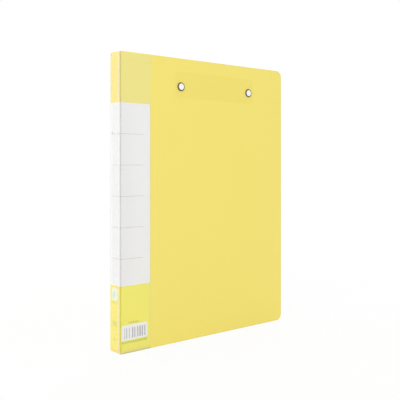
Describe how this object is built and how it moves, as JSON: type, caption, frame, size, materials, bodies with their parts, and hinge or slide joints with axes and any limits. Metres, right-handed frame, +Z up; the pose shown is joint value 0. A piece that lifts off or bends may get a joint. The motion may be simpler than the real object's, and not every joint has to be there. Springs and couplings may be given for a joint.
{
  "type": "clipboard folder",
  "caption": "Upright closed folder of folded plastic board, with a lever clip riveted inside its front cover and a clear spine pocket with a sliding label card.",
  "frame": {"origin": "on the ground under the middle of the closed, upright folder", "axes": "+Z up along the spine, +X from the spine to the covers' free edges, the front cover faces -Y"},
  "size_m": [0.2375, 0.0215, 0.31],
  "materials": {
    "yellow_board": "fine matt grain",
    "clear_film": "clear gloss",
    "label_card": "smooth printed card",
    "nickel_steel": "bright nickel plating",
    "spring_steel": "drawn wire",
    "soft_vinyl": "matt dipped vinyl"
  },
  "bodies": {
    "back_cover": {"back_cover": "yellow_board", "pocket_film_back": "clear_film"},
    "spine": {"spine_panel": "yellow_board", "crease_front": "yellow_board", "crease_back": "yellow_board", "pocket_film_spine": "clear_film", "pocket_fold_front": "clear_film", "pocket_fold_back": "clear_film"},
    "front_cover": {"front_cover": "yellow_board", "pocket_film_front": "clear_film", "clip_base_plate": "nickel_steel", "clip_rod": "nickel_steel", "rivet_left": "nickel_steel", "rivet_right": "nickel_steel", "clip_spring_left": "spring_steel", "clip_spring_right": "spring_steel"},
    "clip_jaw": {"clip_jaw": "nickel_steel", "lip_grip_left": "soft_vinyl", "lip_grip_right": "soft_vinyl"},
    "label_card_spine": {"label_card_spine": "label_card"},
    "label_card_front": {"label_card_front": "label_card"},
    "label_card_back": {"label_card_back": "label_card"}
  },
  "joints": [
    {"name": "back_crease", "type": "hinge", "parent": "back_cover", "child": "spine", "pos_m": [-0.11843, 0.00993, 0.155], "axis": [0, 0, -1], "range_deg": [0, 179], "deforming": ["crease_back", "pocket_fold_back"]},
    {"name": "front_crease", "type": "hinge", "parent": "spine", "child": "front_cover", "pos_m": [-0.11843, -0.00993, 0.155], "axis": [0, 0, -1], "range_deg": [0, 179], "deforming": ["crease_front", "pocket_fold_front"]},
    {"name": "clip_hinge", "type": "hinge", "parent": "front_cover", "child": "clip_jaw", "pos_m": [0.0105, -0.0018, 0.283], "axis": [1, 0, 0], "range_deg": [0, 35], "stiffness_Nm_per_rad": 0.25, "springref_deg": -28.65, "deforming": ["clip_spring_left", "clip_spring_right"]},
    {"name": "card_slide_spine", "type": "slide", "parent": "spine", "child": "label_card_spine", "axis": [0, 0, 1], "range_m": [0, 0.3]},
    {"name": "card_slide_front", "type": "slide", "parent": "front_cover", "child": "label_card_front", "axis": [0, 0, 1], "range_m": [0, 0.3]},
    {"name": "card_slide_back", "type": "slide", "parent": "back_cover", "child": "label_card_back", "axis": [0, 0, 1], "range_m": [0, 0.3]}
  ],
  "couplings": [
    {"joint": "card_slide_front", "follows": "card_slide_spine", "ratio": 1},
    {"joint": "card_slide_back", "follows": "card_slide_spine", "ratio": 1}
  ]
}
